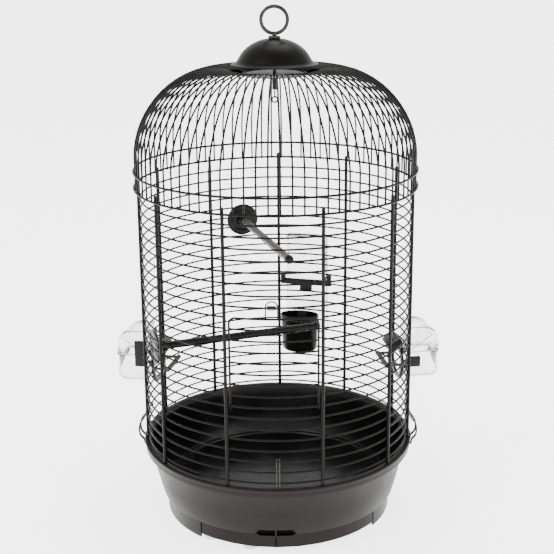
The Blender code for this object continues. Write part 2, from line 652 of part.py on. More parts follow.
def drinker():
    wall = 1.6 * MM
    inner, outer = 168.9 * MM, 196 * MM
    half = 27 * MM
    tank = shell_prism(
        "tank", rounded_outline(inner, outer, 178 * MM, 317 * MM, 12 * MM, 5 * MM),
        rounded_outline(inner + wall, outer - wall, 178 * MM + wall, 317 * MM - wall, 10.4 * MM, 4.4 * MM),
        half, wall)
    mouth = block("mouth", (-14 * MM, -188 * MM, 170 * MM), (14 * MM, -175 * MM, 186 * MM))
    finish(cut(tank, mouth), "water_tank", CLEAR_PLASTIC, DRINKER_ANGLE, pivot=(0, -inner, 178 * MM))

    squash = Matrix.Diagonal((1.0, 0.62, 1.0, 1.0))
    centre = 143.8 * MM

    def bucket(name, low, high, low_radius, high_radius):
        body = rod(name, (0, 0, low), (0, 0, high), low_radius, high_radius, 24)
        body.data.transform(Matrix.Translation((0, -centre, 0)) @ squash)
        return body

    trough = union(
        bucket("trough", 165 * MM, 209 * MM, 24.4 * MM, 26 * MM),
        bucket("trough_foot", 159 * MM, 166 * MM, 19 * MM, 24.5 * MM),
        bucket("trough_rim", 206 * MM, 212 * MM, 26.6 * MM, 26.6 * MM))
    trough = cut(
        trough, bucket("trough_floor", 161 * MM, 167.2 * MM, 17.2 * MM, 22.4 * MM),
        bucket("trough_hollow", 167 * MM, 213 * MM, 22.4 * MM, 24.6 * MM))
    finish(trough, "water_trough", BLACK_PLASTIC, DRINKER_ANGLE + 1.1)

    bar = block("bar", (-35.5 * MM, -160 * MM, 250.6 * MM), (36.5 * MM, -155.5 * MM, 258.4 * MM))
    pieces = [
        block("plate", (-8.5 * MM, -157 * MM, 242 * MM), (8.5 * MM, -152.5 * MM, 259 * MM)),
        block("end_a", (-35.5 * MM, -160 * MM, 256 * MM), (-29.5 * MM, -154 * MM, 266 * MM)),
        block("end_b", (29.5 * MM, -160 * MM, 255 * MM), (35.5 * MM, -152 * MM, 267 * MM))]
    for sign in (-1, 1):
        arm_x = 4.3 * MM + sign * 30.4 * MM
        pieces.append(block(
            "arm", (arm_x - 1.5 * MM, -184 * MM, 256.8 * MM), (arm_x + 1.5 * MM, -158 * MM, 260.8 * MM)))
    finish(union(bar, *pieces), "water_holder", BLACK_PLASTIC, DRINKER_ANGLE - 1.4)


def build():
    tray()
    drawer()
    bottom_plate_and_feet()
    for index in range(len(PANEL_NAMES)):
        wall_panel(index)
    for index in range(DOME_SECTORS):
        dome_sector(index)
    hoop("upper_hoop", UPPER_HOOP_Z)
    hoop("lower_hoop", LOWER_HOOP_Z)
    top_fittings()
    door()
    door_latch()
    tray_clips()
    perch("upper", *UPPER_PERCH)
    perch("lower", *LOWER_PERCH)
    feeder("left")
    feeder("right")
    drinker()


build()
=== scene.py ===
"""Looks of the round bird cage: fine wires, moulded tray, clear feeders, studio floor, light and camera.

Sizes are in millimetres and angles in degrees unless a line says otherwise. The cage's axis is Z, and its
door is on the -Y side.
"""
import math

import bmesh
import bpy
from mathutils import Matrix, Vector


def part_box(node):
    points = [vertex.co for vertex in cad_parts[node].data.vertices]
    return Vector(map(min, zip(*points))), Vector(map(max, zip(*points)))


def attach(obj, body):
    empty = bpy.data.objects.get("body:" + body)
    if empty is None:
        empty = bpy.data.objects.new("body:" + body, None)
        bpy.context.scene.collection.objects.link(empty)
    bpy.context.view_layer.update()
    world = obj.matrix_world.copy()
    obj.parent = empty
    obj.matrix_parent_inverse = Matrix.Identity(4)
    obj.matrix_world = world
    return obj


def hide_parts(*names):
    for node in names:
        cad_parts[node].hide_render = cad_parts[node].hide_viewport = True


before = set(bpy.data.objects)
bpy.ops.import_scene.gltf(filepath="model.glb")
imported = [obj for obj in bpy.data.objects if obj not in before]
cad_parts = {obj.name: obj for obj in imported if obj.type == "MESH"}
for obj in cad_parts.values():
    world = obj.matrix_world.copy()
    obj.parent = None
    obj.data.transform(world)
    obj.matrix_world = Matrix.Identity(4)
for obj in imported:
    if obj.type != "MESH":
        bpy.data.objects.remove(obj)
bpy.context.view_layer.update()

MM = 0.001  # one millimetre in Blender's metres

# The wall's rings are numbered downwards. Radii about the axis differ from the CAD model's by up to 1 mm.
RING_RADIUS, RING_COUNT, RING_PITCH, RING_START_Z = 166.0, 24, 13.476, 427.46
LATCH_RING, DOOR_TOP_RING, DOOR_FOOT_RING, CLIP_RING = 8, 9, 17, 22
POST_RADIUS = 168.0
POST_ANGLES = (-19.5, 19.5, 54.2, 84.0, 114.2, 147.0, 180.0, 213.0, 245.8, 276.0, 305.8)
DOOR_HALF_ANGLE = 17.9
DOOR_WIRE_RADIUS = 165.8
DOME_WIRES, DOME_START_ANGLE = 80, -1.5
HOOP_RADIUS = 173.0
HOOPS = (("upper_hoop", 446.9), ("lower_hoop", 427.0))
SLOT_ANGLES = (-40.6, 57.1)
PULL_TOP, PULL_SEAM, PULL_FOOT = 35.3, 28.0, 23.8
PULL_HALF_WIDTH, PULL_TAPER, PULL_RIB, PULL_FRONT = 26.2, 6.2, 0.9, 158.0
FEEDER_ANGLE = 101.0
FEEDER_LIFT = {"left": -2.5, "right": 2.5}
FEEDER_CATCH = {"left": (185.0, 219.0), "right": (184.5, 198.0)}
FEEDER_PEGS = {"left": (191.6, 205.1), "right": (191.6,)}
DRINKER_ANGLE = 167.4
SIDE_CLIP_LEG = ((172.75, 120), (179.0, 110), (179.1, 97), (174.2, 90), (172.8, 84.8), (168.9, 82.7))
FRONT_CLIP_LEG = ((169.0, 122), (169.3, 110), (169.0, 100.3))

# Radii of the visible wires, and of the bend where the door and the clips hook round a ring.
RING_WIRE, POST_WIRE, DOME_WIRE, HOOP_WIRE, CROWN_WIRE = 1.16, 2.05, 1.1, 1.4, 1.7
DOOR_FRAME_WIRE, DOOR_BAR_WIRE, CLIP_WIRE = 1.25, 1.12, 0.9
HANGING_RING_WIRE, TOY_HOOK_WIRE = 2.25, 0.95
HOOK_RADIUS = 2.75

SHARP_ANGLE = 35.0
GRAIN_DEPTH = 0.1 * MM
FLOOR_GLOW, WORLD_GLOW = 3.1, 1.5

WALL_PANELS = [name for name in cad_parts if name.startswith("wall_")] + ["front_panel"]
DOME_SECTORS = [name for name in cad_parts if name.startswith("dome_sector")]


def ring_z(index):
    """Height of a wall ring, counted down from the lower hoop."""
    return RING_START_Z - index * RING_PITCH


def around(radius, degrees, height):
    """A point round the cage in millimetres, given in metres: 0 degrees is the door, growing towards +X."""
    angle = math.radians(degrees)
    return Vector((radius * math.sin(angle) * MM, -radius * math.cos(angle) * MM, height * MM))


# ---------------------------------------------------------------- materials

def noise(nodes, links, coordinates, scale, detail, stretch):
    """Noise through the material, stretched along an axis if asked."""
    source = coordinates
    if stretch:
        mapping = nodes.new("ShaderNodeMapping")
        mapping.inputs["Scale"].default_value = stretch
        links.new(coordinates, mapping.inputs["Vector"])
        source = mapping.outputs["Vector"]
    texture = nodes.new("ShaderNodeTexNoise")
    texture.inputs["Scale"].default_value = scale
    texture.inputs["Detail"].default_value = detail
    links.new(source, texture.inputs["Vector"])
    return texture.outputs["Fac"]


def ranged(nodes, links, value, low, high):
    """Spreads the middle of the noise, 0.3 to 0.7, over low to high."""
    span = nodes.new("ShaderNodeMapRange")
    span.inputs["From Min"].default_value = 0.3
    span.inputs["From Max"].default_value = 0.7
    span.inputs["To Min"].default_value = low
    span.inputs["To Max"].default_value = high
    links.new(value, span.inputs["Value"])
    return span.outputs["Result"]


def finish_of(name, dark, light, roughness, *, mottle, grain, metallic=0.0, bump=0.12, stretch=None,
              **sockets):
    """A moulded or coated finish: two close colours mottled together, uneven gloss and a fine grain."""
    material = bpy.data.materials.new(name)
    material.use_nodes = True
    nodes, links = material.node_tree.nodes, material.node_tree.links
    shader = nodes["Principled BSDF"]
    where = nodes.new("ShaderNodeTexCoord").outputs["Object"]
    broad = noise(nodes, links, where, mottle, 4.0, stretch)
    fine = noise(nodes, links, where, grain, 2.0, stretch)
    mix = nodes.new("ShaderNodeMix")
    mix.data_type = "RGBA"
    mix.inputs["A"].default_value = (*dark, 1.0)
    mix.inputs["B"].default_value = (*light, 1.0)
    links.new(ranged(nodes, links, broad, 0.0, 1.0), mix.inputs["Factor"])
    links.new(mix.outputs["Result"], shader.inputs["Base Color"])
    links.new(ranged(nodes, links, broad, roughness[0], roughness[1]), shader.inputs["Roughness"])
    relief = nodes.new("ShaderNodeBump")
    relief.inputs["Strength"].default_value = bump
    relief.inputs["Distance"].default_value = GRAIN_DEPTH
    links.new(fine, relief.inputs["Height"])
    links.new(relief.outputs["Normal"], shader.inputs["Normal"])
    shader.inputs["Metallic"].default_value = metallic
    for socket, value in sockets.items():
        shader.inputs[socket.replace("_", " ")].default_value = value
    return material


WIRE = finish_of(
    "black_wire", (0.0022, 0.0019, 0.0017), (0.0048, 0.0041, 0.0036), (0.30, 0.46), mottle=220, grain=2500,
    Specular_IOR_Level=0.10)
STEEL = finish_of(
    "grey_steel", (0.022, 0.021, 0.020), (0.050, 0.048, 0.046), (0.24, 0.40), mottle=180, grain=2200,
    metallic=1.0)
SPRING = finish_of(
    "spring_wire", (0.022, 0.021, 0.020), (0.048, 0.046, 0.044), (0.30, 0.45), mottle=260, grain=2500,
    metallic=0.9)
TRAY = finish_of(
    "tray_plastic", (0.0058, 0.0046, 0.0037), (0.0080, 0.0064, 0.0052), (0.36, 0.46), mottle=26, grain=1400,
    bump=0.07, Specular_IOR_Level=0.10)
# Painted shade: the bowl's inside below the rim takes this darker colour to stand in for the shade that falls
# there; its lower roughness is its own gloss.
TRAY_INSIDE_PAINTED_SHADE = finish_of(
    "tray_inside_painted_shade", (0.0022, 0.0021, 0.0020), (0.0042, 0.0040, 0.0038), (0.16, 0.28), mottle=30, grain=1200,
    bump=0.05, Specular_IOR_Level=0.26)
# Painted shade: a near-black colour put on the finger pull's faces and the drawer's groove, standing in for
# the shade in these recesses.
PAINTED_RECESS_SHADE = finish_of(
    "recess_shade", (0.0006, 0.0005, 0.0005), (0.0012, 0.0011, 0.0010), (0.6, 0.8), mottle=40, grain=1200,
    Specular_IOR_Level=0.02)
BLACK = finish_of(
    "black_plastic", (0.0024, 0.0022, 0.0020), (0.0048, 0.0045, 0.0042), (0.20, 0.34), mottle=50, grain=1500,
    bump=0.06, Specular_IOR_Level=0.13)
CAP = finish_of(
    "cap_plastic", (0.0018, 0.0015, 0.0013), (0.0034, 0.0028, 0.0024), (0.26, 0.36), mottle=45, grain=1500,
    bump=0.06, Specular_IOR_Level=0.08)
PERCH = finish_of(
    "perch_plastic", (0.030, 0.026, 0.022), (0.056, 0.050, 0.043), (0.30, 0.46), mottle=90, grain=900,
    bump=0.25, stretch=(1.0, 1.0, 0.25), Specular_IOR_Level=0.25)
FOOT = finish_of(
    "pale_rubber", (0.50, 0.51, 0.51), (0.62, 0.63, 0.63), (0.35, 0.5), mottle=120, grain=900,
    Transmission_Weight=0.25)
CLEAR = finish_of(
    "clear_plastic", (0.935, 0.925, 0.93), (0.965, 0.955, 0.96), (0.02, 0.06), mottle=35, grain=500,
    bump=0.03, Transmission_Weight=1.0, IOR=1.46)


# ---------------------------------------------------------------- shape tools

def link(obj):
    bpy.context.scene.collection.objects.link(obj)
    return obj


def piece(obj, name, material, body="cage", stands_for=()):
    """Names a finished piece and lets it ride on its body. Material None keeps the materials it has."""
    obj.name = obj.data.name = name
    if material is not None:
        obj.data.materials.clear()
        obj.data.materials.append(material)
    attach(obj, body)
    if stands_for:
        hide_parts(*stands_for)
    return obj


def flowing(points, steps=6):
    """A smooth Catmull-Rom line through the points."""
    line = []
    last = len(points) - 1
    for i in range(last):
        p0, p1, p2, p3 = points[max(i - 1, 0)], points[i], points[i + 1], points[min(i + 2, last)]
        for step in range(steps):
            t = step / steps
            line.append(0.5 * ((2 * p1) + (p2 - p0) * t + (2 * p0 - 5 * p1 + 4 * p2 - p3) * t * t
                               + (3 * p1 - p0 - 3 * p2 + p3) * t * t * t))
    line.append(points[last].copy())
    return line


def wires(name, lines, radius, resolution=3, cyclic=False):
    """Round wires along lists of points, as one curve object. Radius in millimetres."""
    curve = bpy.data.curves.new(name, "CURVE")
    curve.dimensions = "3D"
    curve.bevel_depth = radius * MM
    curve.bevel_resolution = resolution
    curve.use_fill_caps = True
    for points in lines:
        spline = curve.splines.new("POLY")
        spline.points.add(len(points) - 1)
        for slot, point in zip(spline.points, points):
            slot.co = (*point, 1.0)
        spline.use_cyclic_u = cyclic
        spline.use_smooth = True
    return link(bpy.data.objects.new(name, curve))


def mesh_object(name, edit, crease=SHARP_ANGLE):
    bmesh.ops.recalc_face_normals(edit, faces=edit.faces)
    mesh = bpy.data.meshes.new(name)
    edit.to_mesh(mesh)
    edit.free()
    mesh.shade_smooth()
    mesh.set_sharp_from_angle(angle=math.radians(crease))
    return link(bpy.data.objects.new(name, mesh))


def lathe(name, profile, steps, place=None, crease=SHARP_ANGLE):
    """A closed or axis-to-axis profile of (radius, height) turned about Z, then put in its place."""
    edit = bmesh.new()
    turns = [2 * math.pi * i / steps for i in range(steps)]
    rows = []
    for radius, height in profile:
        if radius < 1e-6:
            rows.append([edit.verts.new((0.0, 0.0, height * MM))])
            continue
        rows.append([
            edit.verts.new((radius * MM * math.cos(turn), radius * MM * math.sin(turn), height * MM))
            for turn in turns])
    closed = len(rows[0]) > 1 and len(rows[-1]) > 1
    pairs = list(zip(rows, rows[1:]))
    if closed:
        pairs.append((rows[-1], rows[0]))
    for lower, upper in pairs:
        for i in range(steps):
            j = (i + 1) % steps
            corners = [
                lower[i % len(lower)], lower[j % len(lower)], upper[j % len(upper)], upper[i % len(upper)]]
            unique = list(dict.fromkeys(corners))
            if len(unique) > 2:
                edit.faces.new(unique)
    if place is not None:
        bmesh.ops.transform(edit, matrix=place, verts=edit.verts)
    return mesh_object(name, edit, crease)


def arc_bar(name, profile, angles, steps=48):
    """A closed profile of (radius, height) swept round part of the cage, with both ends closed."""
    edit = bmesh.new()
    rows = []
    for step in range(steps + 1):
        degrees = angles[0] + (angles[1] - angles[0]) * step / steps
        rows.append([edit.verts.new(around(radius, degrees, height)) for radius, height in profile])
    for first, second in zip(rows, rows[1:]):
        for i in range(len(profile)):
            j = (i + 1) % len(profile)
            edit.faces.new((first[i], first[j], second[j], second[i]))
    edit.faces.new(rows[0])
    edit.faces.new(rows[-1])
    return mesh_object(name, edit)


def prism(name, outline, half_width):
    """An outline of (outward, up) in millimetres, extruded sideways, standing at the door side."""
    edit = bmesh.new()
    ends = [
        [edit.verts.new((sign * half_width * MM, -outward * MM, up * MM)) for outward, up in outline]
        for sign in (-1, 1)]
    for i in range(len(outline)):
        j = (i + 1) % len(outline)
        edit.faces.new((ends[0][i], ends[0][j], ends[1][j], ends[1][i]))
    edit.faces.new(ends[0])
    edit.faces.new(ends[1])
    return mesh_object(name, edit)


def slab(name, low, high):
    """A box between two corners in millimetres."""
    edit = bmesh.new()
    bmesh.ops.create_cube(edit, size=MM)
    bmesh.ops.scale(edit, vec=[b - a for a, b in zip(low, high)], verts=edit.verts)
    bmesh.ops.translate(edit, vec=[(a + b) / 2 * MM for a, b in zip(low, high)], verts=edit.verts)
    return mesh_object(name, edit)


def baked(obj, crease=SHARP_ANGLE):
    """Turns modifiers into plain mesh, with edges sharper than the crease angle kept sharp."""
    bpy.context.view_layer.update()
    graph = bpy.context.evaluated_depsgraph_get()
    mesh = bpy.data.meshes.new_from_object(obj.evaluated_get(graph))
    name = obj.name
    bpy.data.objects.remove(obj, do_unlink=True)
    mesh.shade_smooth()
    mesh.set_sharp_from_angle(angle=math.radians(crease))
    return link(bpy.data.objects.new(name, mesh))


def combine(base, others, operation="DIFFERENCE"):
    """Cuts the other solids out of the base, or joins or intersects them with it. The others are used up."""
    for other in others:
        modifier = base.modifiers.new("shape", "BOOLEAN")
        modifier.operation = operation
        modifier.solver = "EXACT"
        modifier.object = other
    result = baked(base)
    for other in others:
        bpy.data.objects.remove(other, do_unlink=True)
    return result


def softened(obj, width, segments=3):
    """Rounds the sharp edges."""
    bevel = obj.modifiers.new("edge", "BEVEL")
    bevel.width = width * MM
    bevel.segments = segments
    bevel.limit_method = "ANGLE"
    bevel.angle_limit = math.radians(SHARP_ANGLE)
    return baked(obj, crease=50.0)


def turned(obj, degrees):
    """Turns a piece from the door side to its place round the cage."""
    obj.data.transform(Matrix.Rotation(math.radians(degrees), 4, "Z"))
    return obj


def joined(objects):
    """Puts several finished mesh objects into the first one."""
    edit = bmesh.new()
    for obj in objects:
        edit.from_mesh(obj.data)
    base = objects[0]
    edit.to_mesh(base.data)
    edit.free()
    for obj in objects[1:]:
        bpy.data.objects.remove(obj, do_unlink=True)
    return base


# ---------------------------------------------------------------- wire cage

def wire_cage():
    door_post = POST_ANGLES[1]
    doorway_angles = [door_post + (360.0 - 2 * door_post) * i / 90 for i in range(91)]
    full_angles = [360.0 / 96 * i for i in range(96)]
    full, doorway = [], []
    for ring in range(1, RING_COUNT + 1):
        if DOOR_TOP_RING <= ring < DOOR_FOOT_RING:
            doorway.append([around(RING_RADIUS, angle, ring_z(ring)) for angle in doorway_angles])
        else:
            full.append([around(RING_RADIUS, angle, ring_z(ring)) for angle in full_angles])
    rings = wires("rings", full, RING_WIRE, cyclic=True)
    piece(rings, "wall_rings", WIRE, stands_for=WALL_PANELS)
    piece(wires("door_rings", doorway, RING_WIRE), "wall_rings_at_door", WIRE)
    posts = []
    for angle in POST_ANGLES:
        posts.append([around(POST_RADIUS, angle, z) for z in (91.6, 250.0, 432.9, 433.4)])
    piece(wires("posts", posts, POST_WIRE, 4), "wall_posts", WIRE)

    # A dome wire runs up through both hoops, bends over, and comes down under the cap to the crown ring.
    foot_radius, hoop_low, hoop_high = 170.85, 425.9, 446.0
    bend_centre, bend_reach, bend_foot, bend_rise, bend_power = 69.1, 101.75, 466.4, 101.4, 1.11
    under_cap = [(62.0, 566.5), (55.0, 564.6), (46.5, 562.6), (38.0, 560.7)]
    meridians = []
    for number in range(DOME_WIRES):
        angle = DOME_START_ANGLE + 360.0 / DOME_WIRES * number
        line = [(foot_radius, hoop_low), (foot_radius, hoop_high)]
        for step in range(15):
            bend = math.radians(90.0 - 6.0 * step)
            rise = max(math.cos(bend), 0.0) ** bend_power
            line.append((bend_centre + bend_reach * math.sin(bend), bend_foot + bend_rise * rise))
        meridians.append([around(radius, angle, height) for radius, height in line + under_cap])
    dome = wires("dome", meridians, DOME_WIRE, 2)
    piece(dome, "dome_wires", WIRE, stands_for=DOME_SECTORS)
    crown = [[around(37.5, 7.5 * i, 560.6) for i in range(48)]]
    piece(wires("crown", crown, CROWN_WIRE, cyclic=True), "crown_ring", WIRE)
    for name, height in HOOPS:
        line = [[around(HOOP_RADIUS, 3.0 * i, height) for i in range(120)]]
        hoop = wires(name, line, HOOP_WIRE, 4, True)
        piece(hoop, f"{name}_wire", WIRE, stands_for=[name])


# ---------------------------------------------------------------- cap and hanger

def top_fittings():
    crown = [
        (8.0, 602.1), (14.0, 601.0), (18.5, 599.7), (22.7, 598.0), (27.8, 595.4), (32.2, 592.4),
        (36.8, 588.4), (40.4, 584.1), (43.0, 579.8), (44.7, 576.9)]
    brim = [
        (45.7, 575.3), (47.1, 574.1), (49.2, 573.2), (51.2, 572.7), (52.3, 572.4), (52.65, 572.0),
        (52.6, 571.6)]
    under_brim = [(52.0, 571.4), (49.6, 571.8), (46.8, 572.6), (44.9, 573.6), (43.7, 574.8)]
    hollow = [(radius * 0.955, height - 1.5) for radius, height in reversed(crown)]
    bore_top, bore_foot = [(2.8, 602.3), (5.5, 602.3)], [(2.8, 600.7)]
    cap = lathe("cap", bore_top + crown + brim + under_brim + hollow + bore_foot, 128)
    piece(cap, "top_cap", CAP, stands_for=["cap"])
    ferrule = lathe("ferrule", [
        (2.6, 605.1), (6.3, 605.1), (6.9, 604.9), (7.3, 604.5), (7.4, 604.0), (7.4, 603.1), (7.1, 602.7),
        (2.6, 602.65)], 48)
    piece(ferrule, "ferrule", STEEL, stands_for=["hanger_ferrule"])
    sleeve = lathe("sleeve", [
        (2.3, 559.0), (2.75, 559.0), (2.85, 558.6), (2.85, 542.0), (2.6, 541.6), (2.3, 541.6)], 32)
    piece(sleeve, "hook_tube", BLACK, stands_for=["hook_sleeve"])

    ring_centre, half_width, half_height = 623.7, 15.75, 15.7
    ring = []
    for step in range(60):
        angle = math.radians(6 * step)
        ring.append(Vector((
            half_width * MM * math.sin(angle), 0, (ring_centre + half_height * math.cos(angle)) * MM)))
    ring = wires("ring", [ring], HANGING_RING_WIRE, 6, True)
    piece(ring, "hanging_ring_wire", STEEL, "hanger", ["hanging_ring"])
    stem = lathe("stem", [
        (0, 608.6), (1.4, 608.4), (2.6, 607.6), (2.9, 606.6), (2.7, 605.7), (1.75, 605.4), (1.75, 541.6),
        (1.5, 541.3), (0, 541.3)], 32)
    piece(stem, "hanger_stem", STEEL, "hanger")

    eye_centre, eye_radius = 529.7, 3.35
    line = [Vector((0, 0, 540.8 * MM)), Vector((0, 0, 535.0 * MM))]
    for degrees in range(15, 361, 15):
        angle = math.radians(degrees)
        line.append(Vector((
            eye_radius * MM * math.sin(angle), 0, (eye_centre + eye_radius * math.cos(angle)) * MM)))
    hook = wires("hook", [line], TOY_HOOK_WIRE)
    piece(hook, "toy_hook_wire", WIRE, "hanger", ["toy_hook"])
    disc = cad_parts["crown_disc"]
    disc.data.materials.clear()
    disc.data.materials.append(STEEL)


# ---------------------------------------------------------------- tray, drawer and feet

def pull_half_width(height):
    """The six-sided finger pull is widest at the seam between the bowl and the drawer's front."""
    edge = PULL_TOP if height > PULL_SEAM else PULL_FOOT
    return PULL_HALF_WIDTH - PULL_TAPER * (height - PULL_SEAM) / (edge - PULL_SEAM)


def pull_cutters(levels, back):
    """Two halves of the finger pull, either side of its middle rib, cut in from the front as far as back."""
    cutters = []
    sides = [(pull_half_width(z), z) for z in levels]
    outline = [(PULL_RIB, levels[0])] + sides + [(PULL_RIB, levels[-1])]
    for sign in (-1, 1):
        edit = bmesh.new()
        rows = [
            [edit.verts.new((sign * x * MM, -y * MM, z * MM)) for x, z in outline]
            for y in (PULL_FRONT, back)]
        for i in range(len(outline)):
            j = (i + 1) % len(outline)
            edit.faces.new((rows[0][i], rows[0][j], rows[1][j], rows[1][i]))
        edit.faces.new(rows[0])
        edit.faces.new(rows[1])
        cutters.append(mesh_object("pull", edit))
    return cutters


def tray():
    floor = [
        (0, 32.4), (140.6, 32.4), (141.2, 33.4), (141.7, 34.4), (142.6, 34.8), (144.4, 34.8), (145.3, 34.3),
        (146.2, 33.7), (147.7, 33.9)]
    inner_wall = [(148.9, 35.8), (154.6, 60.0), (160.3, 85.0), (161.5, 91.8), (162.8, 96.0), (163.8, 97.7)]
    rim = [
        (165.2, 98.25), (171.0, 98.3), (171.9, 97.95), (172.35, 97.2), (172.35, 96.2), (172.0, 94.2),
        (171.6, 93.6), (171.5, 93.0), (171.15, 88.4), (170.7, 87.0), (169.9, 86.6), (165.6, 86.6)]
    outer_wall = [
        (164.3, 86.1), (163.4, 84.6), (157.4, 56.0), (153.9, 42.0), (150.6, 29.9), (150.0, 28.4),
        (149.0, 28.0)]
    skirt = [
        (145.3, 28.0), (144.7, 27.7), (144.5, 27.0), (144.5, 4.4), (144.1, 3.4), (143.4, 3.05), (142.7, 3.2),
        (142.3, 4.0)]
    underside = [(142.3, 29.8), (0, 29.8)]
    bowl = lathe("bowl", floor + inner_wall + rim + outer_wall + skirt + underside, 180)
    for finish in (TRAY, TRAY_INSIDE_PAINTED_SHADE, PAINTED_RECESS_SHADE):
        bowl.data.materials.append(finish)
    outside, inside, shade = 0, 1, 2

    slot = arc_bar("slot", [(138, 27.2), (149, 27.2), (149, -5.0), (138, -5.0)], SLOT_ANGLES)
    cutters = [slot] + pull_cutters((26.5, PULL_SEAM, 32.0), 146.0) + pull_cutters((31.5, PULL_TOP), 149.7)
    for angle in POST_ANGLES:
        spot = Matrix.Translation(around(POST_RADIUS, angle, 0.0))
        cutters.append(lathe("socket", [(0, 120), (2.5, 120), (2.5, 90), (0, 90)], 24, spot))
    bowl = combine(bowl, cutters)
    # The inside below the rim is glossier and painted darker as shade, and the faces of the finger pull get a
    # near-black painted shade.
    for face in bowl.data.polygons:
        centre = face.center / MM
        radius = math.hypot(centre.x, centre.y)
        painted_shade_inside = centre.z > 31.0 and radius < 149.0 + (centre.z - 33.0) * 0.235
        pull = abs(centre.x) < 26.0 and centre.y < -144.0 and 27.9 < centre.z < 35.4
        if pull and radius < 149.7 + (centre.z - PULL_SEAM) * 0.27:
            face.material_index = shade
        else:
            face.material_index = inside if painted_shade_inside and centre.z < 97.0 else outside
    piece(bowl, "tray", None, stands_for=["tray_base"])

    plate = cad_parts["bottom_plate"]
    plate.data.materials.clear()
    plate.data.materials.append(BLACK)


def drawer():
    """A shallow tub trimmed to the skirt's circle, with the panel between the two slots as its front."""
    gap = 0.9
    panel = arc_bar(
        "panel", [(142.5, 26.8), (144.1, 26.8), (144.5, 26.4), (144.5, 8.8), (144.1, 8.4), (142.5, 8.4)],
        (SLOT_ANGLES[0] + gap, SLOT_ANGLES[1] - gap), 96)
    tub = slab("tub", (-86, -160, 8.4), (86, 70, 24))
    tub = combine(tub, [slab("hollow", (-84, -162, 10.4), (84, 68, 40))])
    limit = lathe("limit", [(0, 50), (143.6, 50), (143.6, -10), (0, -10)], 128)
    tub = combine(tub, [limit], "INTERSECT")
    tub = combine(tub, [panel], "UNION")
    groove = slab("groove", (-0.7, -150, 0), (0.7, -143.4, 22))
    tub = combine(tub, pull_cutters((PULL_FOOT, PULL_SEAM), 130.0) + [groove])
    tub.data.materials.clear()
    tub.data.materials.append(TRAY)
    tub.data.materials.append(PAINTED_RECESS_SHADE)
    # The groove's faces take the near-black painted shade.
    for face in tub.data.polygons:
        centre = face.center / MM
        groove_painted_shade = abs(centre.x) < 0.8 and -144.4 < centre.y < -143.2 and centre.z < 22.5
        face.material_index = 1 if groove_painted_shade else 0
    piece(tub, "drawer_shell", None, "drawer", ["base_drawer"])


def feet():
    for number in range(1, 7):
        node = f"foot_{number}"
        low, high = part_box(node)
        centre = (low + high) / 2
        foot = lathe("foot", [
            (0, 0.0), (8.2, 0.0), (9.0, 0.15), (9.5, 0.7), (9.8, 2.0), (9.8, 5.6), (9.5, 6.1), (0, 6.1)], 48,
            Matrix.Translation((centre.x, centre.y, 0.0)))
        piece(foot, f"foot_pad_{number}", FOOT, stands_for=[node])


# ---------------------------------------------------------------- door, latch and clips

def loop_round(centre_y, centre_z, x, radius, first, last, steps=14):
    """Part of a circle round a ring's wire, in the plane at x. 0 degrees is outwards, 90 is up."""
    points = []
    for step in range(steps + 1):
        angle = math.radians(first + (last - first) * step / steps)
        points.append(Vector((
            x * MM, (centre_y - radius * math.cos(angle)) * MM, (centre_z + radius * math.sin(angle)) * MM)))
    return points


def mirrored(points):
    """The same line on the other side of the middle, run backwards."""
    return [Vector((-p.x, p.y, p.z)) for p in reversed(points)]


def door():
    top, foot = ring_z(DOOR_TOP_RING), ring_z(DOOR_FOOT_RING)
    hinge = around(DOOR_WIRE_RADIUS, DOOR_HALF_ANGLE, foot) / MM
    corner = 8.0
    turn = math.degrees(corner / DOOR_WIRE_RADIUS)
    side = [around(DOOR_WIRE_RADIUS, DOOR_HALF_ANGLE, z) for z in (foot + 5.5, 255.0, top - corner)]
    for degrees in range(10, 91, 10):
        bend = math.radians(degrees)
        side.append(around(
            DOOR_WIRE_RADIUS, DOOR_HALF_ANGLE - turn * (1 - math.cos(bend)),
            top - corner * (1 - math.sin(bend))))
    right = loop_round(hinge.y, hinge.z, hinge.x, HOOK_RADIUS, 330.0, 150.0) + side
    inner = DOOR_HALF_ANGLE - turn
    across = [around(DOOR_WIRE_RADIUS, inner * (1 - 2 * i / 16), top) for i in range(1, 16)]
    rim = wires("frame", [right + across + mirrored(right)], DOOR_FRAME_WIRE, 4)
    piece(rim, "door_frame", WIRE, "door", ["door"])
    spread = [DOOR_HALF_ANGLE * (1 - 2 * i / 16) for i in range(17)]
    bars = [
        [around(DOOR_WIRE_RADIUS, angle, ring_z(ring)) for angle in spread]
        for ring in range(DOOR_TOP_RING + 1, DOOR_FOOT_RING)]
    piece(wires("bars", bars, DOOR_BAR_WIRE), "door_bars", WIRE, "door")


def latch():
    """A coil round the ring above the door, with a bail that reaches down over the door's top wire."""
    height, x = ring_z(LATCH_RING), -2.0
    front = -(DOOR_WIRE_RADIUS + 2.2)
    turns, steps, length, radius = 8, 16, 10.4, 2.5
    coil = []
    for step in range(turns * steps + 1):
        turn = 2 * math.pi * step / steps
        coil.append(Vector((
            (x - length / 2 + length * step / (turns * steps)) * MM,
            (-DOOR_WIRE_RADIUS - radius * math.cos(turn)) * MM, (height + radius * math.sin(turn)) * MM)))
    coil = wires("coil", [coil], 0.5, 2)
    piece(coil, "latch_coil", STEEL, "latch", ["door_latch"])

    half, foot = 6.9, ring_z(DOOR_TOP_RING) + 2.0
    bail = [Vector(((x + half) * MM, front * MM, foot * MM))]
    for step in range(17):
        angle = math.pi * step / 16
        bail.append(Vector((
            (x + half * math.cos(angle)) * MM, front * MM, (height + 1.6 + 6.6 * math.sin(angle)) * MM)))
    bail.append(Vector(((x - half) * MM, front * MM, foot * MM)))
    piece(wires("bail", [bail], 0.82, 4), "latch_bail", WIRE, "latch")
    lugs = [
        [Vector(((x + sign * reach) * MM, front * MM, height * MM)) for reach in (5.0, half)]
        for sign in (-1, 1)]
    piece(wires("lugs", lugs, 0.7), "latch_lugs", STEEL, "latch")


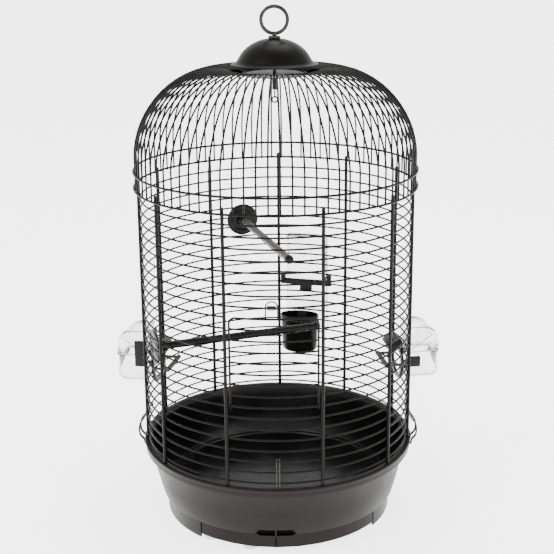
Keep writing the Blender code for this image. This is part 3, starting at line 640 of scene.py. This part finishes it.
def tray_clip(side, angle, half_width, legs):
    """A spring wire that hooks round a low ring and runs down to the tray. A wide one has an inner loop."""
    height = ring_z(CLIP_RING)
    pivot = -math.sqrt(DOOR_WIRE_RADIUS ** 2 - half_width ** 2)
    hook = loop_round(pivot, height, half_width, HOOK_RADIUS, 200.0, -10.0)
    leg = [hook[-1]] + [Vector((half_width * MM, -radius * MM, z * MM)) for radius, z in legs]
    right = hook[:-1] + flowing(leg)
    lines = [right + mirrored(right)]
    if half_width > 5:
        inner = [Vector((p.x * 0.62, p.y, p.z)) for p in right[len(hook):-3]]
        crest = []
        for degrees in range(20, 161, 20):
            turn = math.radians(degrees)
            crest.append(Vector((
                inner[0].x * math.cos(turn), inner[0].y, inner[0].z + 3.0 * MM * math.sin(turn))))
        lines.append(list(reversed(inner)) + crest + [Vector((-p.x, p.y, p.z)) for p in inner])
    clip = wires(f"{side}_clip", lines, CLIP_WIRE, 4)
    spin = Matrix.Rotation(math.radians(angle), 4, "Z")
    for spline in clip.data.splines:
        for point in spline.points:
            point.co = (*(spin @ point.co.to_3d()), 1.0)
    piece(clip, f"{side}_tray_clip_wire", SPRING, f"{side}_clip", [f"{side}_tray_clip"])


# ---------------------------------------------------------------- perches

def inward(angle, height, start):
    """A place on the wall. Local Z runs from the wall towards the axis, local Y up."""
    spot = around(start, angle, height)
    ahead = (around(0, 0, height) - spot).normalized()
    up = Vector((0, 0, 1))
    across = up.cross(ahead)
    turn = Matrix((across, up, ahead)).transposed().to_4x4()
    return Matrix.Translation(spot) @ turn


def perch(prefix, angle, height, stick_material):
    place = inward(angle, height, 161.0)
    rosette = lathe("rosette", [
        (0, 0), (20.5, 0.0), (21.2, 0.4), (21.5, 1.2), (21.2, 2.2), (20.0, 2.9), (15.2, 3.3), (14.6, 3.0),
        (13.9, 3.3), (9.4, 3.6), (8.6, 4.6), (8.3, 6.0), (7.5, 13.2), (7.0, 13.9), (5.4, 14.0), (5.3, 7.9),
        (0, 7.9)], 72, place)
    piece(rosette, f"{prefix}_rosette", BLACK, stands_for=[f"{prefix}_perch_rosette"])
    radius, waist, pitch = 4.85, 4.72, 8.0
    profile = [(0, 8.3), (4.6, 8.3), (radius, 8.8)]
    along = 16.0
    while along < 208.0:
        profile += [(radius, along), (waist, along + 0.5), (waist, along + 1.1), (radius, along + 1.6)]
        along += pitch
    profile += [(radius, 212.9), (4.6, 213.2), (0, 213.2)]
    stick = lathe("stick", profile, 40, place)
    piece(stick, f"{prefix}_perch_stick", stick_material, stands_for=[f"{prefix}_perch"])
    tip = lathe("tip", [
        (0, 213.65), (5.2, 213.65), (5.5, 214.0), (5.55, 215.0), (5.3, 217.2), (4.7, 218.8), (3.6, 219.4),
        (0, 219.55)], 40, place)
    piece(tip, f"{prefix}_perch_cap", BLACK, stands_for=[f"{prefix}_perch_tip"])


# ---------------------------------------------------------------- feeders and drinker

def rounded(inner, outer, low, high, top_round, low_round=0.0, steps=10):
    """An outline of (outward, up): square at the wall, rounded outside at the top and, if asked, the foot."""
    quarter = [math.pi / 2 * step / steps for step in range(steps + 1)]
    points = [(inner, low)]
    if low_round:
        for turn in quarter:
            points.append((outer - low_round * (1 - math.sin(turn)), low + low_round * (1 - math.cos(turn))))
    else:
        points.append((outer, low))
    for turn in quarter:
        points.append((outer - top_round * (1 - math.cos(turn)), high - top_round * (1 - math.sin(turn))))
    points.append((inner, high))
    return points


def cup_outline(inner, outer, low, high, corner):
    """An outline of (outward, up): square against the wall, rounded outside at the foot, open-topped."""
    quarter = [math.radians(degrees) for degrees in range(0, 91, 9)]
    foot = [(outer - corner * (1 - math.sin(turn)), low + corner * (1 - math.cos(turn))) for turn in quarter]
    return [(inner, low)] + foot + [(outer, high), (inner, high)]


def side_slab(name, sign, across, along, up):
    """A box on one side of the middle: spans of distance from the middle, of Y and of Z."""
    left, right = sorted(sign * reach for reach in across)
    return slab(name, (left, along[0], up[0]), (right, along[1], up[1]))


def ribbed_bar(name, half_length, radius, place):
    neck, waist, pitch = radius * 0.8, radius * 0.86, 1.9
    profile = [(0, -half_length), (neck, -half_length), (radius, -half_length + 0.5)]
    along = -half_length + 1.2
    while along < half_length - 1.5:
        profile += [(radius, along), (waist, along + 0.35), (waist, along + 0.95), (radius, along + 1.3)]
        along += pitch
    profile += [(radius, half_length - 0.5), (neck, half_length), (0, half_length)]
    return lathe(name, profile, 28, place, 60.0)


def feeder(side):
    """A clear cup and lifting hood outside the wall, with a black holder and a ribbed bar inside it."""
    angle = FEEDER_ANGLE if side == "right" else -FEEDER_ANGLE
    lift = FEEDER_LIFT[side]
    catch_low, catch_high = FEEDER_CATCH[side]
    inner, outer, half, wall = 168.7, 206.4, 22.0, 1.5
    seam, low, high = 199.3 + lift, 167.0 + lift, 233.5 + lift

    cup = prism("cup", cup_outline(inner, outer, low, seam - 0.35, 9), half)
    hollow = prism("hollow", cup_outline(inner + wall, outer - wall, low + wall, seam + 9, 7.6), half - wall)
    cup = combine(cup, [hollow, slab("access", (-17, -inner - 4, low + 14), (17, -inner + 4, seam + 9))])
    cup = turned(softened(cup, 0.45, 2), angle)
    piece(cup, f"{side}_seed_cup", CLEAR, stands_for=[f"{side}_feeder_cup"])

    cover, cover_half = outer + 0.3, half + 0.3
    hood = prism("hood", rounded(inner, cover, seam, high, 19.0), cover_half)
    hollow = rounded(inner + wall, cover - wall, seam - 9, high - wall, 17.5)
    hood = softened(combine(hood, [prism("hollow", hollow, cover_half - wall)]), 0.45, 2)
    band = slab("band", (-half - 0.7, -outer - 0.7, seam + 0.2), (half + 0.7, -inner - 1.0, seam + 4.0))
    bore = slab("bore", (-half - 0.2, -outer - 0.2, seam - 3), (half + 0.2, -inner + 3, seam + 9))
    hood = joined([hood, softened(combine(band, [bore]), 0.2, 2)])
    piece(turned(hood, angle), f"{side}_seed_hood", CLEAR, f"{side}_hood",
          [f"{side}_feeder_hood"])
    baffle = prism("baffle", [
        (inner + 2.2, seam + 3.0), (outer - 7.0, seam + 23.0), (outer - 7.0, seam + 21.8),
        (inner + 2.2, seam + 1.8)], half - 2.0)
    piece(turned(baffle, angle), f"{side}_seed_baffle", CLEAR, f"{side}_hood")

    centre = 187.0 + lift
    back = Matrix.Translation((0, -158.8 * MM, centre * MM)) @ Matrix.Rotation(math.radians(90), 4, "X")
    ring = lathe("ring", [
        (21.0, 1.2), (21.6, 1.8), (26.2, 1.8), (26.8, 1.3), (27.0, 0.5), (27.0, -1.2), (26.4, -1.8),
        (21.4, -1.8), (21.0, -1.4)], 72, back)
    parts = [ring]
    for sign in (-1, 1):
        tab = side_slab("tab", sign, (20.0, 28.6), (-160.2, -157.2), (catch_low + 1, catch_high - 1))
        parts.append(softened(tab, 0.8))
        for peg in FEEDER_PEGS[side]:
            parts.append(side_slab("peg", sign, (24.2, 28.2), (-174, -158), (peg - 2, peg + 2)))
        catch = side_slab("catch", sign, (23.6, 28.6), (-182, -168.4), (catch_low, catch_high))
        parts.append(softened(catch, 0.9))
    roof = prism("roof", [
        (160.2, centre + 17), (160.2, centre + 27.8), (157, centre + 27.8), (149.0, centre + 25.4),
        (143.2, centre + 19.0), (143.2, centre + 17)], 20)
    under = prism("under", [
        (158, centre + 10), (158, centre + 25.9), (156.4, centre + 25.9), (150.0, centre + 23.8),
        (145.6, centre + 19.0), (145.6, centre + 10)], 18.2)
    parts.append(softened(combine(roof, [under]), 0.5, 2))
    piece(turned(joined(parts), angle), f"{side}_feeder_holder", BLACK,
          stands_for=[f"{side}_feeder_frame"])

    bar_z = 184.5 + lift
    place = Matrix.Translation((0, -139 * MM, bar_z * MM)) @ Matrix.Rotation(math.radians(90), 4, "Y")
    parts = [ribbed_bar("bar", 26.0, 3.1, place)]
    for sign in (-1, 1):
        arm = side_slab("arm", sign, (21.8, 24.8), (-156.7, -138.5), (bar_z - 1.6, bar_z + 1.6))
        parts.append(softened(arm, 0.6))
    piece(turned(joined(parts), angle), f"{side}_feeder_bar", PERCH,
          stands_for=[f"{side}_feeder_perch"])


def drinker():
    """A clear tank outside the rear wall, with its cup and holder inside it."""
    inner, outer, half, wall, low, high = 168.9, 196.0, 27.0, 1.5, 178, 317
    tank = prism("tank", rounded(inner, outer, low, high, 12, 5), half)
    hollow = rounded(inner + wall, outer - wall, low + wall, high - wall, 10.5, 4.0)
    mouth = slab("mouth", (-14, -188, 170), (14, -175, 186))
    tank = combine(tank, [prism("hollow", hollow, half - wall), mouth])
    tank = turned(softened(tank, 0.5, 2), DRINKER_ANGLE)
    piece(tank, "water_tank_shell", CLEAR, "tank", ["water_tank"])

    squash = Matrix.Translation((0, -143.8 * MM, 0)) @ Matrix.Diagonal((1.0, 0.62, 1.0, 1.0))
    trough = lathe("trough", [
        (0, 159.0), (17.6, 159.0), (20.4, 159.7), (22.8, 161.8), (24.2, 165.0), (25.8, 203.5), (26.4, 204.1),
        (26.55, 205.0), (26.2, 206.0), (26.4, 207.0), (26.6, 208.0), (26.6, 211.2), (26.3, 211.8),
        (25.6, 211.9), (25.0, 211.4), (22.4, 168.0), (20.8, 163.8), (17.6, 162.0), (0, 162.0)], 80, squash)
    trough = turned(trough, DRINKER_ANGLE + 1.1)
    piece(trough, "water_cup", BLACK, stands_for=["water_trough"])

    parts = [
        softened(slab("bar", (-35.5, -160, 250.6), (36.5, -155.5, 258.4)), 0.8),
        softened(slab("plate", (-8.5, -157, 242), (8.5, -152.5, 259)), 0.8),
        softened(slab("end_a", (-35.5, -160, 256), (-29.5, -154, 266)), 0.8),
        softened(slab("end_b", (29.5, -160, 255), (35.5, -152, 267)), 0.8)]
    for sign in (-1, 1):
        x = 4.3 + sign * 30.4
        parts.append(softened(slab("arm", (x - 1.5, -184, 256.8), (x + 1.5, -158, 260.8)), 0.5))
    holder = turned(joined(parts), DRINKER_ANGLE - 1.4)
    piece(holder, "water_holder_bar", BLACK, stands_for=["water_holder"])


# ---------------------------------------------------------------- floor, light and camera

def area_light(name, spot, target, size, power):
    """A white rectangular light. Its place and size are in metres and its power in watts."""
    light = bpy.data.lights.new(name, "AREA")
    light.shape = "RECTANGLE"
    light.size, light.size_y = size
    light.energy = power
    obj = link(bpy.data.objects.new(name, light))
    obj.location = spot
    obj.rotation_euler = (Vector(target) - Vector(spot)).to_track_quat("-Z", "Y").to_euler()


def studio():
    edit = bmesh.new()
    bmesh.ops.create_grid(edit, x_segments=1, y_segments=1, size=30.0)
    floor = mesh_object("floor", edit)
    material = bpy.data.materials.new("pale_floor")
    material.use_nodes = True
    shader = material.node_tree.nodes["Principled BSDF"]
    shader.inputs["Base Color"].default_value = (0.9, 0.9, 0.9, 1.0)
    shader.inputs["Roughness"].default_value = 0.9
    shader.inputs["Specular IOR Level"].default_value = 0.1
    shader.inputs["Emission Color"].default_value = (1.0, 1.0, 1.0, 1.0)
    shader.inputs["Emission Strength"].default_value = FLOOR_GLOW
    floor.data.materials.append(material)

    world = bpy.data.worlds.new("studio")
    world.use_nodes = True
    world.node_tree.nodes["Background"].inputs["Color"].default_value = (1.0, 1.0, 1.0, 1.0)
    world.node_tree.nodes["Background"].inputs["Strength"].default_value = WORLD_GLOW
    bpy.context.scene.world = world

    area_light("key", (-1.6, -1.7, 2.2), (0, 0, 0.3), (1.4, 1.4), 34)
    area_light("fill", (2.2, -1.2, 1.4), (0, 0, 0.3), (1.6, 1.6), 14)
    area_light("top", (0.2, 0.8, 2.4), (0, 0, 0.4), (1.2, 1.2), 20)

    camera = bpy.data.cameras.new("camera")
    camera.lens = 78.0
    camera.sensor_width = 36.0
    camera.clip_start = 0.05
    obj = link(bpy.data.objects.new("camera", camera))
    distance, height, bearing = 1.4449, 0.7350, math.radians(1.3)
    pan, down, roll = 1.27, 16.5, -0.5
    obj.location = (distance * math.sin(bearing), -distance * math.cos(bearing), height)
    look = Matrix.Rotation(math.radians(pan), 4, "Z") @ Matrix.Rotation(math.radians(90 - down), 4, "X")
    look = look @ Matrix.Rotation(math.radians(roll), 4, "Z")
    obj.rotation_euler = look.to_euler()
    bpy.context.scene.camera = obj


wire_cage()
top_fittings()
tray()
drawer()
feet()
door()
latch()
tray_clip("left", -90.0, 9.0, SIDE_CLIP_LEG)
tray_clip("right", 90.0, 9.0, SIDE_CLIP_LEG)
tray_clip("front", 1.3, 1.7, FRONT_CLIP_LEG)
perch("upper", 197.9, 344.4, PERCH)
perch("lower", -68.4, 235.4, BLACK)
feeder("left")
feeder("right")
drinker()
studio()
